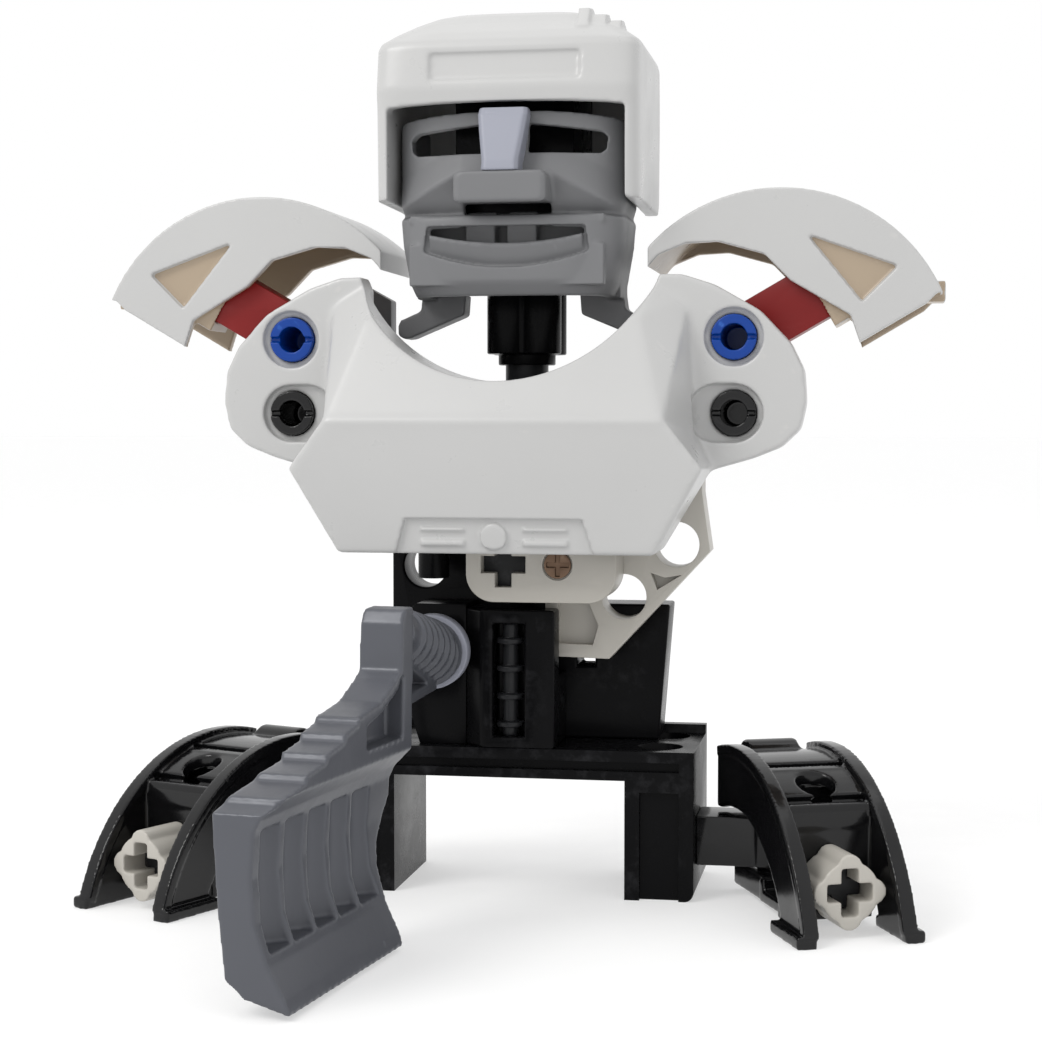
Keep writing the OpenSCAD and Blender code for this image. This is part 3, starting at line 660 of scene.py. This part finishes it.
def chest():
    """A hollow shell with two lugs, a round neck, sunk pin holes and a belt panel."""
    shell = hull_solid("chest_shell_body", belly(0))
    fuse(shell, hull_solid("breast", breast(0)))
    for side in (-1, 1):
        fuse(shell, prism("lug", mirrored(side, LUG), -8, -4))
    voxels(shell, 0.3)
    rounding = shell.modifiers.new("rounding", "SMOOTH")
    rounding.factor = 0.5
    rounding.iterations = 10
    bake_modifiers(shell)
    for cavity in (hull_solid("cavity", belly(CHEST_WALL)), hull_solid("cavity", breast(CHEST_WALL)),
                   brick("cavity", -15.4, 15.4, -9, 0, 39, 66)):
        rim = disc_outline(NECK_X, NECK_Z, NECK_R + CHEST_WALL)
        carve(voxels(cavity, 0.3), prism("rim", rim, -22, 3))
        carve(shell, cavity)
    carve(shell, prism("neck", disc_outline(NECK_X, NECK_Z, NECK_R, 128), -22, 3),
          brick("under", -14.6, 14.6, -14.6, -3, 36, 41))
    low_pin = PIN_Z["chest_pins"]
    for x in (-PIN_X, PIN_X):
        for z in (low_pin, PIN_Z["shoulder_pins"]):
            carve(shell, prism("sink", disc_outline(x, z, SINK_R), -9, -7.1),
                  prism("bore", disc_outline(x, z, BORE_R), -10, -3))
        inner = math.copysign(INNER_SINK_X, x)
        low, high = min(x, inner), max(x, inner)
        carve(shell, prism("sink", disc_outline(inner, low_pin, SINK_R), -9, -7.1),
              brick("sink", low, high, -9, -7.1, low_pin - SINK_R, low_pin + SINK_R))
    carve(shell, belt_prism("belt", [(-10.7, -1), (10.7, -1), (9.3, 3.8), (-9.3, 3.8)], -2, 0.6))
    fuse(shell, belt_prism("button", disc_outline(0, 1.9, 1.4, 40), 0.1, 1.0))
    for x in (-7.7, 3.1):
        for z, thick in ((0.9, 0.6), (2.5, 0.3)):
            fuse(shell, belt_prism("bar", box_outline(x, x + 4.6, z, z + thick), 0.2, 1.0))
    mould(shell, 0.18, 3, keep=0.5)
    return dress(shell, "chest_shell")


# ---- pins ----

def pins(node, slot):
    """Two hollow pins with a rounded lip and a small notch."""
    z = PIN_Z[node]
    tubes = None
    for x in (-PIN_X, PIN_X):
        tube = prism(node + "_tubes", disc_outline(x, z, 2.4), -7.8, 7.8)
        carve(tube, prism("bore", disc_outline(x, z, 1.4), -9, -1),
              brick("notch", x - 2.3, x + 2.3, -8, -7.2, z - 0.3, z + 0.3))
        tubes = fuse(tubes, tube) if tubes else tube
    mould(tubes, 0.12, 3, keep=0.5)
    return dress(tubes, node, slot)


# ---- shoulder pads ----

PAD_PANEL = [(42.2, 67.6), (30.6, 72.2), (30.2, 70.2), (37.0, 62.4)]


def pad(node, side):
    """The CAD pad with a thin panel that closes its window from behind; its inward faces and the panel's
    front carry the painted tan shade.
    """
    obj = copy_of(node, node + "_moulded")
    fuse(obj, prism("pad_panel", mirrored(side, PAD_PANEL), -4.5, -3.8))
    mould(obj, 0.2, 4)
    dress(obj, node, ("left" if side < 0 else "right") + "_pad_painted_shade")


pad("left_shoulder_pad", -1)
pad("right_shoulder_pad", 1)
face_mask()
nose_bridge()
helmet()
chest()
pins("shoulder_pins", "blue_plastic")
pins("chest_pins", "black_gloss")
skate("left_skate", -1)
skate("right_skate", 1)


# ---- stage, light and camera ----

def floor():
    """A wide pale sheet under the feet."""
    mesh = bpy.data.meshes.new("floor")
    bm = bmesh.new()
    bmesh.ops.create_grid(bm, x_segments=2, y_segments=2, size=6.0)
    bm.to_mesh(mesh)
    bm.free()
    obj = link("floor", mesh)
    paint(obj, "floor_paint")


def area_light(name, place, size, energy, target, color=(1, 1, 1)):
    data = bpy.data.lights.new(name, "AREA")
    data.shape = "RECTANGLE"
    data.size, data.size_y = size
    data.energy = energy
    data.color = color
    obj = bpy.data.objects.new(name, data)
    obj.location = place
    obj.rotation_mode = "QUATERNION"
    obj.rotation_quaternion = (Vector(target) - Vector(place)).to_track_quat("-Z", "Y")
    bpy.context.scene.collection.objects.link(obj)


def studio():
    """White surroundings, and soft boxes above left, above right and straight above."""
    world = bpy.data.worlds.new("studio")
    bpy.context.scene.world = world
    world.use_nodes = True
    back = world.node_tree.nodes["Background"]
    back.inputs["Color"].default_value = (1, 1, 1, 1)
    back.inputs["Strength"].default_value = 1.0
    middle = (0, Y0, 0.05)
    area_light("key", (-0.30, Y0 - 0.36, 0.46), (0.26, 0.26), 1.55, middle, (1, 0.99, 0.97))
    area_light("fill", (0.45, Y0 - 0.20, 0.45), (0.30, 0.30), 0.02, middle)
    area_light("top", (0.0, Y0 + 0.05, 0.60), (0.45, 0.45), 0.42, middle)
    bpy.context.scene.view_settings.view_transform = "Standard"


VIEW_YAW = math.radians(10.0)
VIEW_RANGE = 0.235
EYE_Z = 0.0513
AIM_Z = 0.0401
SENSOR_MM = 36.0
LENS_MM = 73.382


def camera():
    """Looks at the front from a little to the right, level with the chest."""
    data = bpy.data.cameras.new("camera")
    data.sensor_width = SENSOR_MM
    data.lens = LENS_MM
    data.clip_start, data.clip_end = 0.01, 20
    obj = bpy.data.objects.new("camera", data)
    obj.location = (math.sin(VIEW_YAW) * VIEW_RANGE, Y0 - math.cos(VIEW_YAW) * VIEW_RANGE, EYE_Z)
    obj.rotation_mode = "QUATERNION"
    obj.rotation_quaternion = (Vector((0, Y0, AIM_Z)) - obj.location).to_track_quat("-Z", "Y")
    bpy.context.scene.collection.objects.link(obj)
    bpy.context.scene.camera = obj


floor()
studio()
camera()
